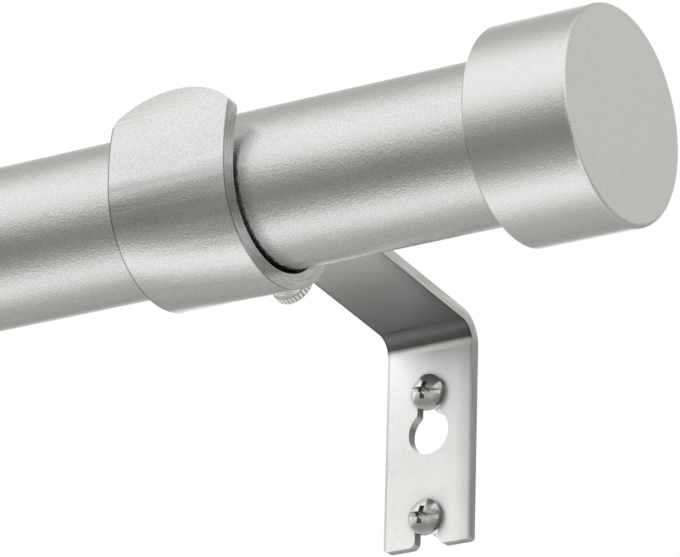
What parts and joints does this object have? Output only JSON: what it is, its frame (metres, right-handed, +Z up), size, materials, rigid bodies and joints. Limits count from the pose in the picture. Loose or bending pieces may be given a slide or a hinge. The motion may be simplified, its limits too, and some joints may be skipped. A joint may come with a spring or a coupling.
{
  "type": "extendable curtain rod",
  "caption": "Telescoping curtain rod with pull-off end caps, carried in hooked wall brackets and clamped by knurled thumb screws; the thin tube draws out of the thick one.",
  "frame": {"origin": "on the wall plane, in the middle of the right bracket's plate, between its keyhole and its lower slot", "axes": "+X to the right along the rod, +Y into the wall, +Z up"},
  "size_m": [0.711, 0.0874, 0.0551],
  "materials": {
    "tube": "satin nickel, fine grain",
    "inner_tube": "satin nickel, fine grain, with a seam",
    "cap": "satin nickel, matt face",
    "cradle": "satin nickel, sheared edges",
    "bracket": "satin nickel, sheared edges",
    "rivet": "plain satin steel",
    "thumb_screw": "nickel, knurled",
    "wall_screw": "bright zinc",
    "grey_nylon": "moulded nylon",
    "black_plastic": "moulded polypropylene"
  },
  "bodies": {
    "right_bracket": {"right_bracket_arm": "bracket", "right_cradle": "cradle", "right_cradle_rivets": "rivet", "right_upper_wall_screw": "wall_screw", "right_lower_wall_screw": "wall_screw"},
    "right_thumb_screw": {"right_thumb_screw": "thumb_screw"},
    "outer_tube": {"outer_tube": "tube", "outer_tube_collar": "grey_nylon"},
    "inner_tube": {"inner_tube": "inner_tube", "inner_tube_guide": "grey_nylon", "left_cap_reducer": "grey_nylon"},
    "right_end_cap": {"right_end_cap": "cap", "right_cap_liner": "black_plastic"},
    "left_end_cap": {"left_end_cap": "cap", "left_cap_liner": "black_plastic"},
    "left_bracket": {"left_bracket_arm": "bracket", "left_cradle": "cradle", "left_cradle_rivets": "rivet", "left_upper_wall_screw": "wall_screw", "left_lower_wall_screw": "wall_screw"},
    "left_thumb_screw": {"left_thumb_screw": "thumb_screw"}
  },
  "joints": [
    {"name": "rod_through_right_cradle", "type": "slide", "parent": "right_bracket", "child": "outer_tube", "axis": [1, 0, 0], "range_m": [-0.04, 0.06]},
    {"name": "rod_extension", "type": "slide", "parent": "outer_tube", "child": "inner_tube", "axis": [-1, 0, 0], "range_m": [0, 0.508]},
    {"name": "left_bracket_along_rod", "type": "slide", "parent": "inner_tube", "child": "left_bracket", "axis": [1, 0, 0], "range_m": [-0.04, 0.025]},
    {"name": "right_thumb_screw_out", "type": "slide", "parent": "right_bracket", "child": "right_thumb_screw", "axis": [0, 0.9455, -0.3256], "range_m": [0, 0.003]},
    {"name": "left_thumb_screw_out", "type": "slide", "parent": "left_bracket", "child": "left_thumb_screw", "axis": [0, 0.9455, -0.3256], "range_m": [0, 0.004]},
    {"name": "right_cap_off", "type": "slide", "parent": "outer_tube", "child": "right_end_cap", "axis": [1, 0, 0], "range_m": [0, 0.03]},
    {"name": "left_cap_off", "type": "slide", "parent": "inner_tube", "child": "left_end_cap", "axis": [-1, 0, 0], "range_m": [0, 0.03]}
  ]
}
